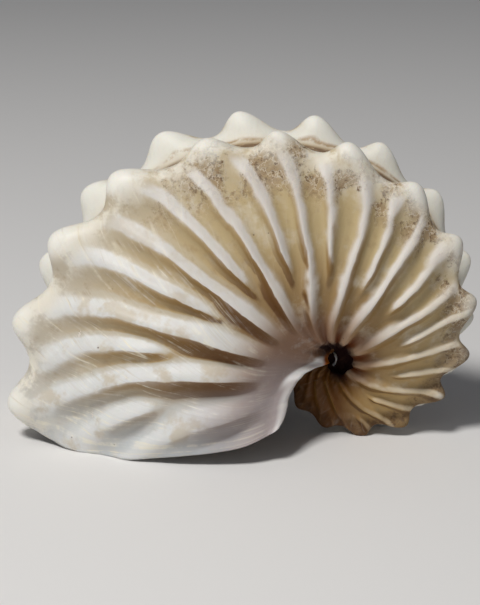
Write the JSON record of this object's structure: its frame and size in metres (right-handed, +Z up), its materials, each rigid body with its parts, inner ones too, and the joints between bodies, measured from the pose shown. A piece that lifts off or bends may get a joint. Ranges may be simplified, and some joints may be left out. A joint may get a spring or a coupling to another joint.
{
  "type": "paper nautilus shell",
  "caption": "Thin hollow spiral shell with ribbed flanks, rows of knobs beside a narrow keel, and a wide mouth that opens downward.",
  "frame": {"origin": "centre of the bounding box's base, on the surface that the shell stands on", "axes": "+Z up, +X towards the coiled end with the mouth at -X, and the coil's axis along Y"},
  "size_m": [0.08, 0.0386, 0.0553],
  "materials": {
    "shell": "satin calcite, creamy white ribs over tan furrows, with grey-brown dirt near the keel"
  },
  "bodies": {
    "root": {"shell": "shell"}
  },
  "joints": []
}
